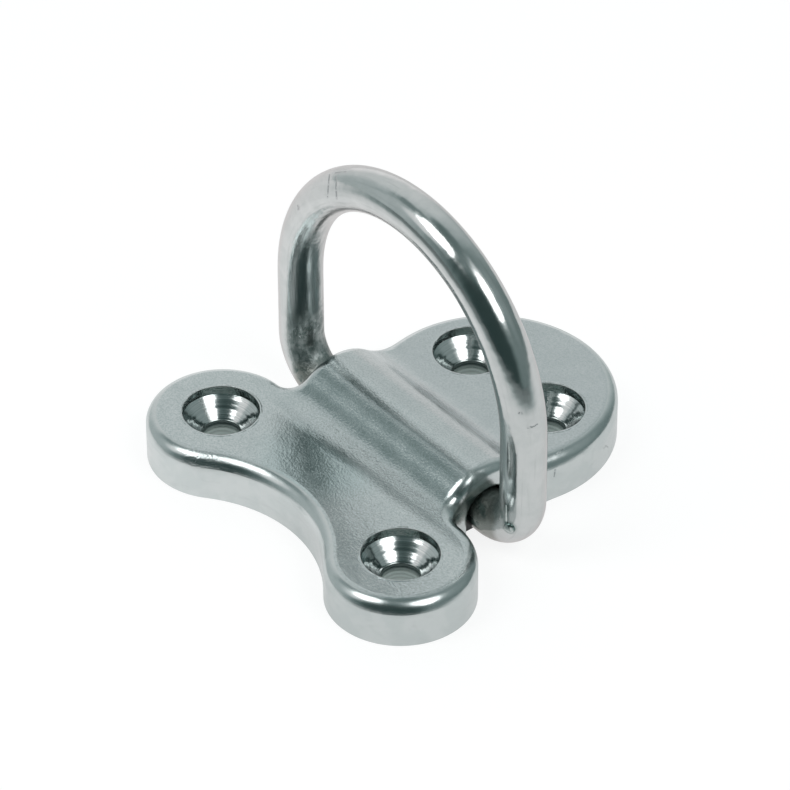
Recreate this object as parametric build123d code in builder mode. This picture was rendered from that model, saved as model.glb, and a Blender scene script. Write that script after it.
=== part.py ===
from build123d import *
import os
from math import hypot, sqrt

# Folding pad eye: a D ring of 8 mm wire turns in a groove under a ribbed base
# plate, which four countersunk screws hold down.
#
# Frame: X runs along the hinge bar, +Y points to the round far end of the plate,
# Z is up. The origin is on the mounting face, under the middle of the hinge bar.
# All lengths are millimetres.

# --- D ring ----------------------------------------------------------------
wire_radius = 4.0
ring_corner_radius = 8.2
ring_bow_height = 26.0          # centre of the round bow, above the mounting face
bar_floor_gap = 0.7             # under the bar, to the mounting face
bar_overhang = 0.7              # straight bar that shows past each groove mouth

# --- groove that the bar turns in ------------------------------------------
groove_clearance = 0.6
groove_edge_radius = 0.8

# --- screw holes, for 6 mm countersunk screws ------------------------------
screw_bore_radius = 3.5
screw_head_radius = 6.8
screw_head_recess = 1.7
countersink_angle = 90.0
near_hole_spacing = 49.6
far_hole_spacing = 20.6

# --- base plate ------------------------------------------------------------
plate_thickness = 9.1
edge_radius = 2.4
near_head_margin = 6.3          # metal round each near screw head
near_notch_radius = 25.5
far_head_margin = 4.3           # metal between a far screw head and the disc's edge
disc_setback = 3.8              # disc's centre, towards the bar from the far holes
neck_step = 0.7                 # how far the disc stands out past the rib's ends
neck_radius = 40.0
waist_radius = 3.5
mouth_land = 0.2                # flat between the groove's edge round and the waist

# --- rib that bridges the hinge bar ----------------------------------------
rib_wall = 4.5                  # metal over the groove
rib_crown_radius = 10.0
rib_foot_half_width = 13.6

# --- friction cradle under the bar -----------------------------------------
cradle_inset = 2.4              # in from each groove mouth
cradle_running_clearance = 0.05

# --- sizes that follow from those above ------------------------------------
bar_height = wire_radius + bar_floor_gap
groove_radius = wire_radius + groove_clearance

near_hole_x = near_hole_spacing / 2
far_hole_x = far_hole_spacing / 2
near_lobe_radius = screw_head_radius + near_head_margin
disc_radius = hypot(far_hole_x, disc_setback) + screw_head_radius + far_head_margin
mouth_x = disc_radius - neck_step

waist_x = mouth_x + waist_radius
waist_y = -(groove_radius + groove_edge_radius + mouth_land)
near_hole_y = waist_y - sqrt((near_lobe_radius + waist_radius) ** 2 - (waist_x - near_hole_x) ** 2)
far_hole_y = -near_hole_y
disc_y = far_hole_y - disc_setback
notch_y = near_hole_y - sqrt((near_lobe_radius + near_notch_radius) ** 2 - near_hole_x**2)

rib_top = bar_height + groove_radius + rib_wall
rib_height = rib_top - plate_thickness
rib_radii = (rib_foot_half_width**2 / rib_height + rib_height) / 2
rib_shoulder_y = rib_foot_half_width * rib_crown_radius / rib_radii
rib_shoulder_z = rib_top - rib_height * rib_crown_radius / rib_radii

ring_leg_x = mouth_x + bar_overhang + ring_corner_radius
half_width = max(near_hole_x + near_lobe_radius, disc_radius)
far_end = disc_y + disc_radius
near_end = near_hole_y - near_lobe_radius
reach = max(far_end, -near_end)
tolerance = 0.01

near_holes = [(-near_hole_x, near_hole_y), (near_hole_x, near_hole_y)]
far_holes = [(-far_hole_x, far_hole_y), (far_hole_x, far_hole_y)]


def on_mouth(item):
    """True for an edge or a corner in the plane of a groove mouth."""
    return abs(abs(item.center().X) - mouth_x) < tolerance


def plate_plan():
    """Plan of the plate: two near lobes with a hollow between them, a waist and a far disc."""
    with BuildSketch() as plan:
        with Locations(near_holes):
            Circle(near_lobe_radius)
        with Locations((0, disc_y)):
            Circle(disc_radius)
        with BuildLine():
            Polyline(
                (0, notch_y),
                (near_hole_x, near_hole_y),
                (mouth_x, near_hole_y),
                (mouth_x, disc_y),
                (-mouth_x, disc_y),
                (-mouth_x, near_hole_y),
                (-near_hole_x, near_hole_y),
                close=True,
            )
        make_face()
        with Locations((0, notch_y)):
            Circle(near_notch_radius, mode=Mode.SUBTRACT)
        fillet(plan.vertices().filter_by(on_mouth).group_by(Axis.Y)[0], waist_radius)
        fillet(plan.vertices().filter_by(on_mouth).group_by(Axis.Y)[-1], neck_radius)
    return plan.sketch


def rib_section():
    """Side view of the plate: flat on top, with a round rib that flares out to both sides."""
    with BuildSketch(Plane.YZ.offset(-half_width)) as section:
        with BuildLine():
            crown = TangentArc((0, rib_top), (rib_shoulder_y, rib_shoulder_z), tangent=(1, 0))
            flare = TangentArc(crown @ 1, (rib_foot_half_width, plate_thickness), tangent=crown % 1)
            Polyline(flare @ 1, (reach, plate_thickness), (reach, 0), (0, 0), (0, rib_top))
        make_face()
        mirror(about=Plane.YZ)
    return section.sketch


def groove_section():
    """Section of the groove: a round roof over the bar, straight walls, open at the bottom."""
    with BuildSketch(Plane.YZ) as section:
        with Locations((0, bar_height)):
            Circle(groove_radius)
            Rectangle(2 * groove_radius, bar_height, align=(Align.CENTER, Align.MAX))
    return section.sketch


with BuildPart() as base_plate:
    extrude(plate_plan(), amount=rib_top)
    extrude(rib_section(), amount=2 * half_width, mode=Mode.INTERSECT)
    top_edges = base_plate.edges().filter_by_position(Axis.Z, plate_thickness - tolerance, rib_top + tolerance)
    fillet(top_edges.filter_by(Axis.X, reverse=True), edge_radius)

    extrude(groove_section(), amount=half_width, both=True, mode=Mode.SUBTRACT)
    mouth_edges = (
        base_plate.edges()
        .filter_by(on_mouth)
        .filter_by_position(Axis.Y, -groove_radius - tolerance, groove_radius + tolerance)
        .filter_by_position(Axis.Z, tolerance, bar_height + groove_radius + tolerance)
    )
    fillet(mouth_edges, groove_edge_radius)

    with Locations(Plane.XY.offset(plate_thickness - screw_head_recess)):
        with Locations(near_holes + far_holes):
            CounterSinkHole(screw_bore_radius, screw_head_radius, counter_sink_angle=countersink_angle)
base_plate.part.label = "base_plate"

with BuildPart() as d_ring:
    with BuildLine(Plane.XZ) as half_ring:
        bar = Line((0, bar_height), (ring_leg_x - ring_corner_radius, bar_height))
        corner = TangentArc(bar @ 1, (ring_leg_x, bar_height + ring_corner_radius), tangent=(1, 0))
        leg = Line(corner @ 1, (ring_leg_x, ring_bow_height))
        TangentArc(leg @ 1, (0, ring_bow_height + ring_leg_x), tangent=(0, 1))
    with BuildSketch(Plane.YZ):
        with Locations((0, bar_height)):
            Circle(wire_radius)
    sweep(path=half_ring.wire())
    mirror(about=Plane.YZ)
d_ring.part.label = "d_ring"

with BuildPart() as friction_cradle:
    with BuildSketch(Plane.YZ):
        with Locations((0, bar_height)):
            Rectangle(2 * groove_radius, bar_height, align=(Align.CENTER, Align.MAX))
            Circle(wire_radius + cradle_running_clearance, mode=Mode.SUBTRACT)
    extrude(amount=mouth_x - cradle_inset, both=True)
friction_cradle.part.label = "friction_cradle"

os.makedirs("parts", exist_ok=True)
export_step(base_plate.part, "parts/base_plate.step")
export_step(d_ring.part, "parts/d_ring.step")
export_step(friction_cradle.part, "parts/friction_cradle.step")
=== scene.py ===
import bmesh
import bpy
from math import cos, pi, radians, sin
from mathutils import Matrix, Vector, noise


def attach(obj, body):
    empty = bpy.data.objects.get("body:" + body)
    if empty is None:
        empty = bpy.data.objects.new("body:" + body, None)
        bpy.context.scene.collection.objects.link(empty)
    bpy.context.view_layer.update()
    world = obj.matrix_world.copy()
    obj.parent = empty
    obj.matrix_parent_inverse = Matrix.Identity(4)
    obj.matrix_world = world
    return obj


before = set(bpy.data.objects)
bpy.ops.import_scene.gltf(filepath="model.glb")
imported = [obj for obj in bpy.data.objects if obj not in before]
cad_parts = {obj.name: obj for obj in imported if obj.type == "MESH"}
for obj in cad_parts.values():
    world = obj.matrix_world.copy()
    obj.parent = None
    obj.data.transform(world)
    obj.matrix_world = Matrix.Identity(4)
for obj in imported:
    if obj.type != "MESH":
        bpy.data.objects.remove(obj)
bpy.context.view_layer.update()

# --- camera ----------------------------------------------------------------
camera_azimuth = 51.1562         # degrees, as all directions here
camera_elevation = 38.6902
camera_roll = -0.184
camera_distance = 0.92349
camera_aim = Vector((-0.00450, 0.00032, 0.01373))
camera_lens = 243.3
sensor_width = 36.0

# --- studio: a direction is an azimuth (0 towards -Y, 90 towards +X) and an elevation
key_direction = (-16, 57)
key_size = (0.50, 0.54)
key_radiance = 2.5
fill_direction = (96, 53)
fill_size = (0.54, 0.55)
fill_radiance = 2.2
lamp_distance = 1.0

room_level = 0.24
room_tints = [           # level, colour: the dark side of the room is a little green
    (0.0, (0.48, 1.0, 0.96)), (0.10, (0.67, 1.0, 0.975)), (0.26, (0.79, 1.0, 0.99)),
    (0.51, (0.89, 1.0, 1.0)), (0.81, (0.985, 1.0, 1.0)), (1.0, (1.0, 1.0, 1.0)),
]
wall_patches = [          # azimuth, elevation, outer angle, inner angle, level
    (-115, 28, 70, 5, 0.76),
    (-126, -4, 28, 6, 1.05),
    (-55, 12, 40, 12, 0.54),
    (-65, 50, 14, 3, 0.27),
    (-57, 59, 11, 4, 0.20),
    (-62, 38, 5, 2, 0.40),
    (-62, 29, 5, 2, 0.42),
    (-26, 38, 18, 7, 0.85),
    (38, 12, 56, 30, 0.06),
    (102, 56, 24, 14, 0.72),
    (143, 35, 26, 8, 0.33),
    (0, 90, 22, 8, 0.19),
]
floor_radius = 5.0
floor_paper = 0.85
floor_lift = 0.85        # share of white that the camera sees the floor glow with
floor_faint = 0.25       # what the glowing floor still takes of light and shadow
floor_front = [          # distance from the object's middle in metres, level in reflections
    (0.0, 0.67), (0.10, 0.65), (0.14, 0.59), (0.19, 0.40), (0.25, 0.10), (0.42, 0.05),
]
floor_tints = [
    (0.0, (0.60, 1.0, 0.97)), (0.25, (0.82, 1.0, 0.99)), (0.50, (0.965, 1.0, 1.0)), (0.70, (1.0, 1.0, 1.0)),
]
floor_sides = [          # azimuth, from and to how far towards it (cosine), level in reflections, reach
    (-100, 0.40, 0.95, 0.74, 4.0),
    (178, 0.20, 0.85, 0.66, 4.0),
    (-62, 0.35, 0.90, 0.80, 0.075),
]

# --- the plate, in millimetres of the CAD frame ------------------------------
millimetres = 1000.0     # in one metre
plate_top = 9.1
near_holes = (24.8, -22.2)
far_holes = (10.3, 22.2)
head_radius = 6.8
bore_radius = 3.5
rib_half_width = 13.6
rim_foot = 6.7           # height at which the rim's round edge starts
foot_lean = (-15.2, -10.4, 0.36)   # the rib's near foot: from y, to y, added height
peened_spot = (-17.5, -31.2, 8.2)  # dimples on the left lobe's rim
stain = (-3.0, -17.0, 9.0)         # middle of a greener patch on the near flat
cone_top = 7.4
bore_top = 4.1
groove_half_width = 4.75
groove_top = 9.4
thread_half_pitch = 0.40
far_line = (6.15, 11.0, 0.005)     # brownish line: y at its middle, x of its middle, bend
painted_reflection_bands = [           # painted reflections and painted shade, as darker and lighter strips along the rib: from y, to y, soft edge, shade
    (-13.8, -12.1, 0.4, (0.92, 0.93, 0.93)),
    (-3.35, -2.95, 0.3, (0.74, 0.78, 0.78)),
    (-0.6, 4.2, 0.8, (0.925, 0.925, 0.925)),
    (2.4, 9.2, 0.8, (1.04, 1.0, 1.0)),
    (6.2, 8.2, 0.5, (1.16, 1.15, 1.15)),
]
plate_marks = [          # small dents: from, to, half width
    ((21.9, 14.4, 6.5), (21.9, 14.2, 5.2), 0.13),
    ((20.7, 26.5, 4.4), (20.2, 27.5, 4.0), 0.12),
    ((20.2, 27.5, 4.0), (19.9, 28.2, 3.2), 0.10),
    ((21.2, 15.4, 9.1), (20.7, 17.4, 9.0), 0.10),
]

# --- the ring, in millimetres of the CAD frame -------------------------------
bow_height = 26.0
bend_start = 22.08
bend_height = 12.9
ring_marks = [           # scuffs: from, to, half width
    ((-19.0, -2.1, 53.8), (-17.2, -4.0, 50.9), 0.10),
    ((-16.6, -2.6, 54.9), (-14.7, -4.0, 52.1), 0.12),
    ((-17.7, -1.8, 54.8), (-15.2, -1.6, 56.4), 0.09),
    ((32.2, -2.7, 34.3), (32.4, -2.4, 34.2), 0.16),
    ((33.4, -1.9, 31.5), (33.7, -1.0, 31.35), 0.13),
    ((33.7, -1.0, 31.35), (33.8, -0.1, 31.55), 0.10),
    ((-25.3, -4.0, 43.8), (-25.7, -3.8, 44.2), 0.15),
]
weld_middle = (31.10, -3.44, 9.15)
weld_outward = (0.38, -0.912, -0.155)
weld_radius = 1.08
weld_height = 0.86
# painted shade in the crease around the weld bead and its run: from, to, half width
weld_foot_shade_lines = [
    ((31.1, -3.6, 9.0), (31.1, -3.6, 9.3), 0.85),
    ((30.6, -3.95, 10.2), (30.6, -4.0, 13.6), 0.42),
    ((29.6, -3.9, 10.6), (29.2, -3.8, 11.6), 0.25),
]
weld_tail = [(30.6, -3.86, 10.0), (30.64, -3.94, 11.4), (30.60, -3.96, 12.8), (30.55, -3.94, 14.0)]
weld_tail_radius = 0.27
weld_tail_widths = (1.2, 1.0, 1.0, 0.7)
weld_ripple = 0.06
mark_reach = 1.8         # a mark shows no further than this from its own line


def direction(azimuth, elevation):
    """Unit vector towards an azimuth and an elevation, in degrees."""
    a = radians(azimuth)
    e = radians(elevation)
    return Vector((sin(a) * cos(e), -cos(a) * cos(e), sin(e)))


mark_facing = direction(51, 39)


class Graph:
    """A shader node tree, with one short call for each kind of node."""

    def __init__(self, tree):
        self.tree = tree
        tree.nodes.clear()

    def node(self, kind, settings=None, **inputs):
        made = self.tree.nodes.new(kind)
        for name, value in (settings or {}).items():
            setattr(made, name, value)
        for name, value in inputs.items():
            self.feed(made.inputs[name.replace("_", " ")], value)
        return made

    def feed(self, socket, value):
        if isinstance(value, bpy.types.NodeSocket):
            self.tree.links.new(value, socket)
        else:
            socket.default_value = value

    def math(self, operation, *values, clamp=False):
        made = self.tree.nodes.new("ShaderNodeMath")
        made.operation = operation
        made.use_clamp = clamp
        for socket, value in zip(made.inputs, values):
            self.feed(socket, value)
        return made.outputs[0]

    def vector(self, operation, *values):
        made = self.tree.nodes.new("ShaderNodeVectorMath")
        made.operation = operation
        for socket, value in zip(made.inputs, values):
            self.feed(socket, value)
        return made.outputs["Value" if operation in ("DOT_PRODUCT", "LENGTH", "DISTANCE") else "Vector"]

    def scaled(self, vector, by):
        made = self.node("ShaderNodeVectorMath", {"operation": "SCALE"})
        self.feed(made.inputs[0], vector)
        self.feed(made.inputs["Scale"], by)
        return made.outputs[0]

    def split(self, vector):
        return self.node("ShaderNodeSeparateXYZ", Vector=vector).outputs

    def join(self, x, y, z):
        return self.node("ShaderNodeCombineXYZ", X=x, Y=y, Z=z).outputs[0]

    def blend(self, factor, low, high):
        made = self.tree.nodes.new("ShaderNodeMix")
        for socket, value in zip((made.inputs[0], made.inputs[2], made.inputs[3]), (factor, low, high)):
            self.feed(socket, value)
        return made.outputs[0]

    def tint(self, factor, low, high, way="MIX"):
        made = self.node("ShaderNodeMix", {"data_type": "RGBA", "blend_type": way})
        for socket, value in zip((made.inputs[0], made.inputs[6], made.inputs[7]), (factor, low, high)):
            self.feed(socket, (*value, 1) if isinstance(value, tuple) else value)
        return made.outputs[2]

    def ramp(self, value, colors):
        """The colour at a value, from pairs of a value and its colour."""
        made = self.node("ShaderNodeValToRGB", Fac=value)
        stops = made.color_ramp.elements
        stops[0].position = colors[0][0]
        stops[1].position = colors[-1][0]
        for position, _ in colors[1:-1]:
            stops.new(position)
        for stop, (_, color) in zip(stops, colors):
            stop.color = (*color, 1)
        return made.outputs[0]

    def step(self, value, low, high, to_low=0.0, to_high=1.0):
        made = self.node("ShaderNodeMapRange", {"interpolation_type": "SMOOTHSTEP"})
        for socket, number in zip(made.inputs, (value, low, high, to_low, to_high)):
            self.feed(socket, number)
        return made.outputs[0]

    def band(self, value, low, high, soft):
        """1 between low and high, and 0 outside, over a soft edge."""
        above = self.step(value, low - soft, low + soft)
        below = self.step(value, high - soft, high + soft, 1.0, 0.0)
        return self.math("MULTIPLY", above, below)

    def noise(self, place, scale, detail, rough, stretch=None):
        if stretch:
            place = self.vector("MULTIPLY", place, stretch)
        made = self.node("ShaderNodeTexNoise", Vector=place, Scale=scale, Detail=detail, Roughness=rough)
        return made.outputs[0]

    def marks(self, place, lines, broken=True):
        """1 on short marks, straight as seen along mark_facing, on the surface near them; 0 elsewhere."""
        found = 0.0
        for start, end, half_width in lines:
            start = Vector(start)
            run = Vector(end) - start
            level_run = run - mark_facing * run.dot(mark_facing)
            offset = self.vector("SUBTRACT", place, start)
            depth = self.vector("DOT_PRODUCT", offset, mark_facing)
            level = self.vector("SUBTRACT", offset, self.scaled(tuple(mark_facing), depth))
            reached = self.vector("DOT_PRODUCT", level, level_run)
            share = self.math("DIVIDE", reached, level_run.length_squared, clamp=True)
            away = self.vector("DISTANCE", level, self.scaled(tuple(level_run), share))
            distance = self.vector("DISTANCE", offset, self.scaled(tuple(run), share))
            close = self.step(distance, mark_reach, mark_reach - 0.4)
            mark = self.math("MULTIPLY", self.step(away, half_width * 2.0, half_width * 0.2), close)
            found = self.math("MAXIMUM", found, mark)
        if broken:
            found = self.math("MULTIPLY", found, self.step(self.noise(place, 3.0, 2.0, 0.6), 0.38, 0.56))
        return found

    def bump(self, height, depth, normal=None):
        """The normal after a height of depth millimetres from 0 to 1."""
        made = self.node("ShaderNodeBump", Strength=1.0, Distance=depth / millimetres, Height=height)
        if normal is not None:
            self.feed(made.inputs["Normal"], normal)
        return made.outputs[0]


def make_world():
    """White for the camera; a room with a pale back and a dark front for light and reflections."""
    world = bpy.data.worlds.new("studio")
    bpy.context.scene.world = world
    world.use_nodes = True
    g = Graph(world.node_tree)
    look = g.node("ShaderNodeTexCoord").outputs["Generated"]
    level = room_level
    for azimuth, elevation, outer, inner, patch_level in wall_patches:
        facing = g.vector("DOT_PRODUCT", look, direction(azimuth, elevation))
        level = g.blend(g.step(facing, cos(radians(outer)), cos(radians(inner))), level, patch_level)
    camera_ray = g.node("ShaderNodeLightPath").outputs["Is Camera Ray"]
    strength = g.blend(camera_ray, level, 1.0)
    color = g.tint(camera_ray, g.ramp(level, room_tints), (1.0, 1.0, 1.0))
    shine = g.node("ShaderNodeBackground", Color=color, Strength=strength)
    g.node("ShaderNodeOutputWorld", Surface=shine.outputs[0])


def make_lamp(name, towards, size, radiance):
    """A soft round lamp that shows in the metal at the radiance given."""
    data = bpy.data.lights.new(name, "AREA")
    data.shape = "ELLIPSE"
    data.size, data.size_y = size
    area = size[0] * size[1] * pi / 4
    data.energy = radiance * area * pi
    lamp = bpy.data.objects.new(name, data)
    bpy.context.scene.collection.objects.link(lamp)
    back = direction(*towards)
    lamp.location = back * lamp_distance
    lamp.rotation_euler = back.to_track_quat("Z", "Y").to_euler()


def hole_distance(g, x, y, hole):
    """Distance from the middle of the nearer of two holes, at -x and +x."""
    along = g.math("SUBTRACT", g.math("ABSOLUTE", x), hole[0])
    across = g.math("SUBTRACT", y, hole[1])
    return g.math("POWER", g.math("ADD", g.math("POWER", along, 2.0), g.math("POWER", across, 2.0)), 0.5)


def make_floor():
    """Pale paper, which stays plain under the holes; in reflections it darkens away from the part."""
    mesh = bpy.data.meshes.new("floor")
    r = floor_radius
    mesh.from_pydata([(-r, -r, 0), (r, -r, 0), (r, r, 0), (-r, r, 0)], [], [(0, 1, 2, 3)])
    floor = bpy.data.objects.new("floor", mesh)
    bpy.context.scene.collection.objects.link(floor)
    material = bpy.data.materials.new("floor")
    material.use_nodes = True
    g = Graph(material.node_tree)
    place = g.node("ShaderNodeNewGeometry").outputs["Position"]
    path = g.node("ShaderNodeLightPath").outputs
    away = g.vector("LENGTH", place)
    reach = floor_front[-1][0]
    levels = [(distance / reach, (level, level, level)) for distance, level in floor_front]
    shown = g.split(g.ramp(g.math("DIVIDE", away, reach), levels))[0]
    for azimuth, first, last, side_level, side_reach in floor_sides:
        towards = g.math("DIVIDE", g.vector("DOT_PRODUCT", place, direction(azimuth, 0)),
                         g.math("MAXIMUM", away, 0.001))
        share = g.math("MULTIPLY", g.step(towards, first, last), g.step(away, side_reach * 1.4, side_reach))
        shown = g.blend(share, shown, side_level)
    level = g.blend(path["Is Camera Ray"], shown, floor_lift)
    seen = g.math("MAXIMUM", g.math("MAXIMUM", path["Is Camera Ray"], path["Is Glossy Ray"]),
                  path["Is Transmission Ray"])
    x, y, _ = g.split(g.scaled(place, millimetres))
    in_hole = g.math("MINIMUM", hole_distance(g, x, y, near_holes), hole_distance(g, x, y, far_holes))
    seen = g.math("MULTIPLY", seen, g.step(in_hole, bore_radius + 0.2, bore_radius + 1.0))
    paper = g.node("ShaderNodeBsdfDiffuse", Color=(floor_paper, floor_paper, floor_paper, 1))
    tone = g.tint(path["Is Camera Ray"], g.ramp(shown, floor_tints), (1.0, 1.0, 1.0))
    glow = g.node("ShaderNodeEmission", Color=tone, Strength=level)
    faint = g.node("ShaderNodeBsdfDiffuse", Color=(floor_faint, floor_faint, floor_faint, 1))
    both = g.node("ShaderNodeAddShader")
    g.feed(both.inputs[0], glow.outputs[0])
    g.feed(both.inputs[1], faint.outputs[0])
    mix = g.node("ShaderNodeMixShader")
    g.feed(mix.inputs[0], seen)
    g.feed(mix.inputs[1], paper.outputs[0])
    g.feed(mix.inputs[2], both.outputs[0])
    g.node("ShaderNodeOutputMaterial", Surface=mix.outputs[0])
    mesh.materials.append(material)


def make_material(name, draw):
    """A material with one Principled shader; draw returns the shader's inputs."""
    material = bpy.data.materials.new(name)
    material.use_nodes = True
    g = Graph(material.node_tree)
    coordinates = g.node("ShaderNodeTexCoord").outputs
    place = g.scaled(coordinates["Object"], millimetres)
    inputs = draw(g, place, coordinates["Normal"])
    shader = g.node("ShaderNodeBsdfPrincipled", **inputs)
    g.node("ShaderNodeOutputMaterial", Surface=shader.outputs[0])
    return material


def cast_plate(g, place, facing):
    """Stainless casting: blasted top, polished rim and walls, turned screw seats, rough groove; painted
    reflections along the rib, painted shade in the groove, its mouths, the seat collars and the bores.
    """
    x, y, z = g.split(place)
    nx, _, nz = g.split(facing)
    aside = g.math("ABSOLUTE", x)
    across = g.math("ABSOLUTE", y)
    flat = g.math("MULTIPLY", g.step(nz, 0.955, 0.988), g.step(z, plate_top - 0.3, plate_top - 0.1))
    on_rib = g.math("MULTIPLY", g.step(across, rib_half_width + 0.6, rib_half_width - 0.2),
                    g.step(z, plate_top - 0.3, plate_top))
    on_rib = g.math("MULTIPLY", g.step(g.math("ABSOLUTE", nx), 0.30, 0.08), on_rib)
    hole = g.math("MINIMUM", hole_distance(g, x, y, near_holes), hole_distance(g, x, y, far_holes))
    turned = g.step(hole, head_radius + 0.15, head_radius - 0.05)
    collar = g.math("MULTIPLY", turned, g.band(z, cone_top - 0.1, plate_top - 0.30, 0.22))
    bore = g.math("MULTIPLY", turned, g.step(z, bore_top + 0.25, bore_top - 0.15))
    groove = g.math("MULTIPLY", g.step(across, groove_half_width + 0.3, groove_half_width),
                    g.step(z, groove_top + 0.2, groove_top - 0.2))
    matte = g.math("MULTIPLY", g.math("MAXIMUM", flat, on_rib), g.math("SUBTRACT", 1.0, turned))

    grain = g.noise(place, 2.7, 1.5, 0.5)
    speck = g.noise(place, 3.7, 1.0, 0.5)
    pits = g.step(g.noise(place, 1.3, 2.0, 0.5), 0.64, 0.76)
    cloud = g.noise(place, 0.20, 4.0, 0.6)
    mottle = g.noise(place, 0.9, 3.0, 0.6)
    drawn = g.noise(place, 1.2, 3.0, 0.6, stretch=(0.22, 1.0, 1.0))
    wave = g.noise(place, 0.16, 2.0, 0.5)
    lap = g.noise(place, 0.45, 3.0, 0.6, stretch=(0.4, 1.0, 1.6))
    wall = g.step(z, rim_foot + 0.3, rim_foot - 0.7)
    peened = g.step(g.vector("DISTANCE", place, peened_spot), 6.0, 1.0)

    # colour
    light = g.tint(g.step(cloud, 0.35, 0.65), (0.552, 0.606, 0.610), (0.607, 0.658, 0.661))
    light = g.tint(g.step(drawn, 0.50, 0.70, 0.0, 0.22), light, (0.46, 0.50, 0.50))
    light = g.tint(g.step(speck, 0.42, 0.60, 0.0, 0.55), light, (0.42, 0.49, 0.485))
    light = g.tint(g.math("MULTIPLY", pits, 0.22), light, (0.40, 0.44, 0.44))
    light = g.tint(g.step(grain, 0.40, 0.62, 0.0, 0.22), light, (0.72, 0.76, 0.76))
    between_lobes = g.step(aside, 25.0, 19.0)
    # painted reflections and painted shade: strips along the rib, between the lobes, multiplied into the
    # colour
    for first, last, soft, shade in painted_reflection_bands:
        reflection_strip = g.math("MULTIPLY", g.band(y, first, last, soft), between_lobes)
        light = g.tint(reflection_strip, light, shade, "MULTIPLY")
    light = g.tint(g.step(y, 2.0, 9.0, 0.0, 0.38), light, (0.46, 0.50, 0.51))
    stained = g.step(g.vector("DISTANCE", place, stain), 15.0, 5.0, 0.0, 0.5)
    stained = g.math("MULTIPLY", stained, g.step(y, -12.3, -14.8))
    light = g.tint(stained, light, (0.47, 0.60, 0.60))
    bright = g.tint(g.step(cloud, 0.4, 0.6), (0.600, 0.642, 0.640), (0.640, 0.675, 0.673))
    bright = g.tint(g.step(lap, 0.55, 0.72, 0.0, 0.25), bright, (0.52, 0.55, 0.55))
    color = g.tint(matte, bright, light)
    lines = g.node("ShaderNodeTexNoise", {"noise_dimensions": "1D"}, W=z, Scale=7.0, Detail=1.0).outputs[0]
    seat = g.tint(g.step(lines, 0.42, 0.58), (0.560, 0.590, 0.590), (0.680, 0.700, 0.695))
    color = g.tint(turned, color, seat)
    # painted shade: the collar of each screw seat is darkened in mottled patches
    collar_shade = g.math("MULTIPLY", collar, g.step(mottle, 0.35, 0.65, 0.45, 0.20))
    color = g.tint(collar_shade, color, (0.20, 0.36, 0.34))
    thread = g.math("PINGPONG", g.math("ADD", z, g.math("MULTIPLY", cloud, 0.8)), thread_half_pitch)
    color = g.tint(bore, color, (0.77, 0.85, 0.825))
    color = g.tint(g.math("MULTIPLY", bore, g.step(thread, 0.14, 0.30, 0.0, 0.40)), color, (0.40, 0.43, 0.41))
    # painted shade: a dark band at the top of each bore
    bore_top_shade = g.math("MULTIPLY", bore, g.step(z, bore_top - 2.0, bore_top - 0.7, 0.0, 0.85))
    color = g.tint(bore_top_shade, color, (0.05, 0.08, 0.08))
    mouth = g.math("MULTIPLY", g.step(across, 9.5, 7.0), g.step(aside, 21.5, 24.0))
    # painted shade: the rim around each groove mouth is darkened
    color = g.tint(g.math("MULTIPLY", mouth, 0.45), color, (0.36, 0.46, 0.44))
    # painted shade inside the groove, under the bar
    color = g.tint(g.math("MULTIPLY", groove, 0.8), color, (0.12, 0.17, 0.16))
    # a faint brownish line along the far flank of the rib
    middle_y, middle_x, bend = far_line
    bow = g.math("MULTIPLY", bend, g.math("POWER", g.math("SUBTRACT", x, middle_x), 2.0))
    off_line = g.math("SUBTRACT", y, g.math("SUBTRACT", middle_y, bow))
    along = g.band(x, -8.0, 17.0, 3.0)
    upper = g.step(z, plate_top, plate_top + 0.8)
    line = g.math("MULTIPLY", g.math("MULTIPLY", g.band(off_line, -0.07, 0.07, 0.08), along), upper)
    line = g.math("MULTIPLY", line, g.step(x, -6.0, 6.0, 0.2, 0.85))
    color = g.tint(line, color, (0.30, 0.25, 0.24))
    dents = g.marks(place, plate_marks)
    color = g.tint(g.math("MULTIPLY", dents, 0.7), color, (0.22, 0.25, 0.26))

    # roughness
    rough_matte = g.math("ADD", g.step(cloud, 0.3, 0.7, 0.19, 0.23), g.math("MULTIPLY", pits, 0.05))
    rough_bright = g.math("ADD", g.step(lap, 0.35, 0.7, 0.20, 0.24), g.math("MULTIPLY", peened, 0.04))
    roughness = g.blend(matte, rough_bright, rough_matte)
    roughness = g.blend(turned, roughness, 0.14)
    roughness = g.blend(bore, roughness, 0.26)
    roughness = g.blend(groove, roughness, 0.35)

    # relief
    rings = g.node("ShaderNodeTexNoise", {"noise_dimensions": "1D"}, W=z, Scale=1.0, Detail=0.9).outputs[0]
    burr = g.band(hole, head_radius + 0.12, head_radius + 0.36, 0.10)
    burr = g.math("MULTIPLY", burr, g.step(lap, 0.40, 0.62))
    dimples = g.math("MULTIPLY", grain, g.math("ADD", 0.12, g.math("MULTIPLY", peened, 1.8)))
    polished = g.math("ADD", dimples, g.math("MULTIPLY", lap, g.blend(wall, 0.4, 2.2)))
    relief = g.blend(matte, polished, g.math("MULTIPLY", grain, 1.25))
    relief = g.math("ADD", relief, g.math("MULTIPLY", g.math("MULTIPLY", drawn, on_rib), 0.3))
    relief = g.math("ADD", relief, g.math("MULTIPLY", burr, 3.0))
    relief = g.math("ADD", relief, g.math("MULTIPLY", g.math("MULTIPLY", mottle, mouth), 5.0))
    relief = g.blend(turned, relief, g.math("MULTIPLY", rings, 3.6))
    relief = g.blend(collar, relief, g.math("MULTIPLY", mottle, 3.0))
    relief = g.blend(bore, relief, g.math("MULTIPLY", thread, 6.0))
    relief = g.math("SUBTRACT", relief, dents)
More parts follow.
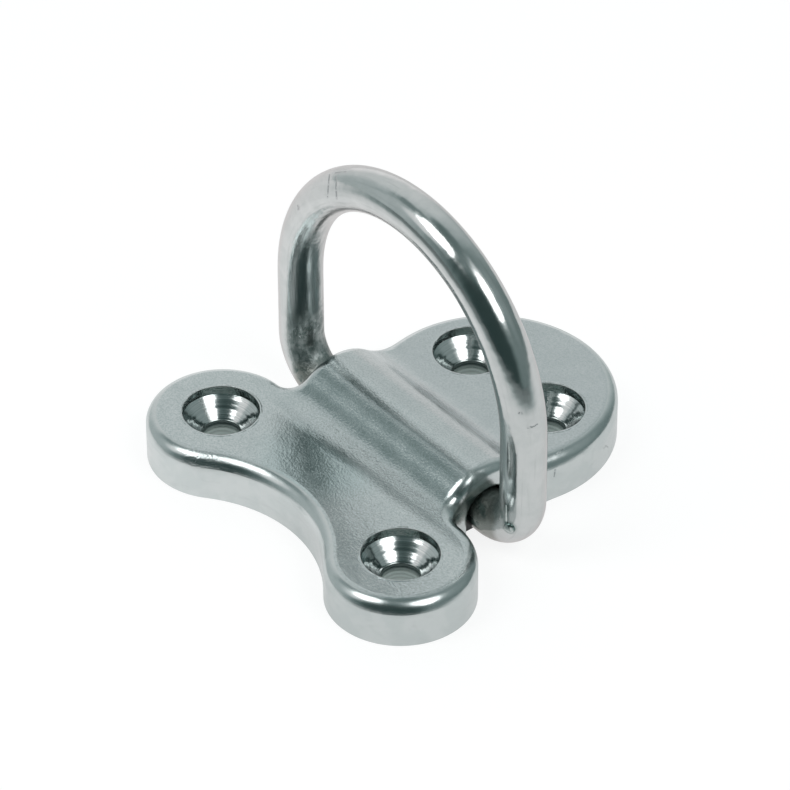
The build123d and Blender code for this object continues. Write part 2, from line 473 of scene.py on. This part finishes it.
    # the rim's edge is rounder than the solid's, and the rib's near foot runs out further
    lean = g.math("ADD", g.step(z, rim_foot + 2.3, rim_foot - 0.3, 0.0, 0.23),
                  g.step(z, rim_foot + 0.8, rim_foot - 1.3, 0.0, 0.31))
    lean = g.math("MULTIPLY", lean, g.math("SUBTRACT", 1.0, turned))
    lean = g.math("MULTIPLY", lean, g.step(across, 9.0, 12.0))
    foot_start, foot_end, foot_height = foot_lean
    lean = g.math("ADD", lean, g.step(y, foot_start, foot_end, 0.0, foot_height))
    normal = g.bump(relief, 0.026)
    normal = g.bump(wave, 0.10, normal)
    normal = g.bump(lean, 1.0, normal)
    return {"Base_Color": color, "Metallic": 1.0, "Roughness": roughness, "Normal": normal,
            "Specular_Tint": (0.94, 0.94, 0.94, 1)}


def polished_ring(g, place, facing):
    """Round bar, bent, welded and polished: streaks along the bar, scuffs, duller ends near the plate;
    painted shade on the insides of the legs, low near the plate, in the groove and around the weld.
    """
    x, y, z = g.split(place)
    # how far the point is from the inside of the bend, so that streaks follow the bar
    bow = g.vector("LENGTH", g.join(x, 0.0, g.math("SUBTRACT", z, bow_height)))
    aside = g.math("ABSOLUTE", x)
    past_bend = g.math("MAXIMUM", g.math("SUBTRACT", aside, bend_start), 0.0)
    under_bend = g.math("MINIMUM", g.math("SUBTRACT", z, bend_height), 0.0)
    bend = g.vector("LENGTH", g.join(past_bend, 0.0, under_bend))
    depth = g.blend(g.math("GREATER_THAN", z, bow_height), bend, g.math("SUBTRACT", bow, bend_start))
    along = g.join(g.math("MULTIPLY", g.math("ADD", x, z), 0.10), g.math("MULTIPLY", depth, 1.6),
                   g.math("MULTIPLY", y, 1.6))
    streak = g.noise(along, 1.0, 3.0, 0.6)
    fibre = g.noise(along, 2.2, 3.0, 0.6)
    cloud = g.noise(place, 0.28, 3.0, 0.6)
    wave = g.noise(place, 0.20, 2.0, 0.5)
    fine = g.noise(place, 2.6, 2.0, 0.5)
    mottle = g.noise(place, 0.9, 4.0, 0.7)
    scuffs = g.marks(place, ring_marks)
    inner = g.step(depth, 8.4, 6.0)
    right = g.step(x, -5.0, 5.0)
    # painted shade low on the inside of the legs near the plate, in mottled patches; the same patches are
    # also rougher and pitted
    low_inner_shade_and_wear = g.math("MULTIPLY", g.step(z, 24.0, 15.0), g.step(mottle, 0.40, 0.62, 0.45, 1.0))
    low_inner_shade_and_wear = g.math("MULTIPLY", low_inner_shade_and_wear, inner)
    color = g.tint(g.step(cloud, 0.35, 0.65), (0.606, 0.630, 0.627), (0.654, 0.672, 0.670))
    color = g.tint(g.step(streak, 0.55, 0.75, 0.0, 0.35), color, (0.45, 0.48, 0.475))
    # painted shade: the inside of the bow is darker on the right leg; the dark fibres on the inside are
    # partly a streaky texture, partly painted shade
    color = g.tint(g.math("MULTIPLY", inner, g.blend(right, 0.0, 0.50)), color, (0.31, 0.40, 0.385))
    fibre_streaks_and_shade = g.step(fibre, 0.45, 0.62, 0.0, g.blend(right, 0.20, 0.38))
    color = g.tint(g.math("MULTIPLY", inner, fibre_streaks_and_shade), color, (0.22, 0.26, 0.25))
    # painted shade low on the inside of the legs
    color = g.tint(g.math("MULTIPLY", low_inner_shade_and_wear, 0.85), color, (0.17, 0.22, 0.21))
    # painted shade on the bar where it lies in the plate's groove
    bar_in_groove_shade = g.math("MULTIPLY", g.step(z, 10.0, 8.0), g.step(aside, 28.5, 26.5))
    color = g.tint(g.math("MULTIPLY", bar_in_groove_shade, 0.8), color, (0.28, 0.29, 0.265))
    color = g.tint(g.math("MULTIPLY", bar_in_groove_shade, g.step(cloud, 0.50, 0.60, 0.0, 0.8)), color, (0.10, 0.15, 0.14))
    # painted shade in the crease around the weld bead and its run
    weld_foot_shade = g.marks(place, weld_foot_shade_lines, broken=False)
    color = g.tint(g.math("MULTIPLY", weld_foot_shade, 0.8), color, (0.17, 0.24, 0.225))
    color = g.tint(g.math("MULTIPLY", scuffs, 0.65), color, (0.24, 0.26, 0.27))
    roughness = g.step(streak, 0.35, 0.65, 0.13, 0.17)
    dull = g.blend(right, g.step(z, 18.0, 10.0, 0.01, 0.12), g.step(z, 34.0, 24.0, 0.04, 0.30))
    roughness = g.math("ADD", roughness, g.math("MULTIPLY", inner, dull))
    roughness = g.math("ADD", roughness, g.math("MULTIPLY", low_inner_shade_and_wear, 0.12))
    roughness = g.math("ADD", roughness, g.math("MULTIPLY", scuffs, 0.2))
    relief = g.math("ADD", g.math("MULTIPLY", fine, 0.12), g.math("MULTIPLY", streak, 0.45))
    relief = g.math("ADD", relief, g.math("MULTIPLY", g.math("MULTIPLY", fibre, inner), 1.2))
    relief = g.math("SUBTRACT", relief, g.math("MULTIPLY", scuffs, 0.6))
    rough_side = g.math("MAXIMUM", low_inner_shade_and_wear, g.math("MULTIPLY", inner, 0.5))
    pitted = g.math("MULTIPLY", g.math("MULTIPLY", mottle, rough_side), g.step(z, 12.0, 9.0, 2.0, 4.0))
    relief = g.math("ADD", relief, pitted)
    normal = g.bump(relief, 0.03)
    normal = g.bump(wave, 0.12, normal)
    return {"Base_Color": color, "Metallic": 1.0, "Roughness": roughness, "Normal": normal,
            "Specular_Tint": (0.88, 0.84, 0.84, 1)}


def weld_metal(g, place, facing):
    """Weld metal: frosted, with painted shade where it meets the bar."""
    grain = g.noise(place, 5.0, 3.0, 0.6)
    cloud = g.noise(place, 1.6, 2.0, 0.6)
    color = g.tint(g.step(cloud, 0.38, 0.62), (0.42, 0.47, 0.46), (0.60, 0.64, 0.63))
    # painted shade in the crease where the bead meets the bar
    lift = g.vector("DOT_PRODUCT", g.vector("SUBTRACT", place, weld_middle), Vector(weld_outward))
    foot = g.math("MULTIPLY", g.step(lift, 0.60, 0.35), g.step(g.split(place)[2], 10.8, 10.2))
    color = g.tint(foot, color, (0.14, 0.20, 0.19))
    roughness = g.step(grain, 0.35, 0.65, 0.16, 0.26)
    return {"Base_Color": color, "Metallic": 1.0, "Roughness": roughness, "Normal": g.bump(grain, 0.02)}


def black_acetal(g, place, facing):
    """Moulded acetal: near black, with a fine sheen texture and scuffs from the bar."""
    grain = g.noise(place, 5.0, 3.0, 0.6)
    scuff = g.step(g.noise(place, 0.9, 3.0, 0.6, stretch=(1.0, 0.2, 1.0)), 0.52, 0.66)
    color = g.tint(scuff, (0.022, 0.023, 0.024), (0.060, 0.060, 0.060))
    roughness = g.blend(scuff, 0.42, 0.58)
    return {"Base_Color": color, "Roughness": roughness, "Normal": g.bump(grain, 0.02)}


def make_weld(material):
    """The small blob and run that the ring's weld left on the bar."""
    shape = bmesh.new()
    bmesh.ops.create_icosphere(shape, subdivisions=4, radius=1.0)
    turn = Vector(weld_outward).to_track_quat("Z", "Y")
    for point in shape.verts:
        ripple = 1 + weld_ripple * noise.noise(point.co * 1.6)
        dome = Vector((point.co.x * weld_radius, point.co.y * weld_radius, point.co.z * weld_height)) * ripple
        point.co = (Vector(weld_middle) + turn @ dome) / millimetres
    for face in shape.faces:
        face.smooth = True
    mesh = bpy.data.meshes.new("weld_bead")
    shape.to_mesh(mesh)
    shape.free()
    bead = bpy.data.objects.new("weld_bead", mesh)
    run = bpy.data.curves.new("weld_run", "CURVE")
    run.dimensions = "3D"
    run.bevel_depth = weld_tail_radius / millimetres
    run.bevel_resolution = 4
    run.use_fill_caps = True
    line = run.splines.new("NURBS")
    line.points.add(len(weld_tail) - 1)
    for point, place, width in zip(line.points, weld_tail, weld_tail_widths):
        point.co = (*(length / millimetres for length in place), 1)
        point.radius = width
    line.order_u = 3
    line.use_endpoint_u = True
    tail = bpy.data.objects.new("weld_run", run)
    for piece in (bead, tail):
        piece.data.materials.append(material)
        bpy.context.scene.collection.objects.link(piece)
        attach(piece, "ring")


def make_camera():
    data = bpy.data.cameras.new("camera")
    data.lens = camera_lens
    data.sensor_width = sensor_width
    data.clip_end = 20.0
    camera = bpy.data.objects.new("camera", data)
    bpy.context.scene.collection.objects.link(camera)
    back = direction(camera_azimuth, camera_elevation)
    right = direction(camera_azimuth + 90, 0)
    up = back.cross(right)
    roll = radians(camera_roll)
    turned_right = right * cos(roll) + up * sin(roll)
    turned_up = up * cos(roll) - right * sin(roll)
    turn = Matrix((turned_right, turned_up, back)).transposed().to_4x4()
    camera.matrix_world = Matrix.Translation(camera_aim + back * camera_distance) @ turn
    bpy.context.scene.camera = camera


bpy.context.scene.view_settings.view_transform = "Standard"
make_camera()
make_world()
make_lamp("key", key_direction, key_size, key_radiance)
make_lamp("fill", fill_direction, fill_size, fill_radiance)
make_floor()
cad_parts["base_plate"].material_slots[0].material = make_material("cast_stainless", cast_plate)
polished = make_material("polished_bar", polished_ring)
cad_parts["d_ring"].material_slots[0].material = polished
make_weld(make_material("weld_metal", weld_metal))
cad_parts["friction_cradle"].material_slots[0].material = make_material("black_acetal", black_acetal)
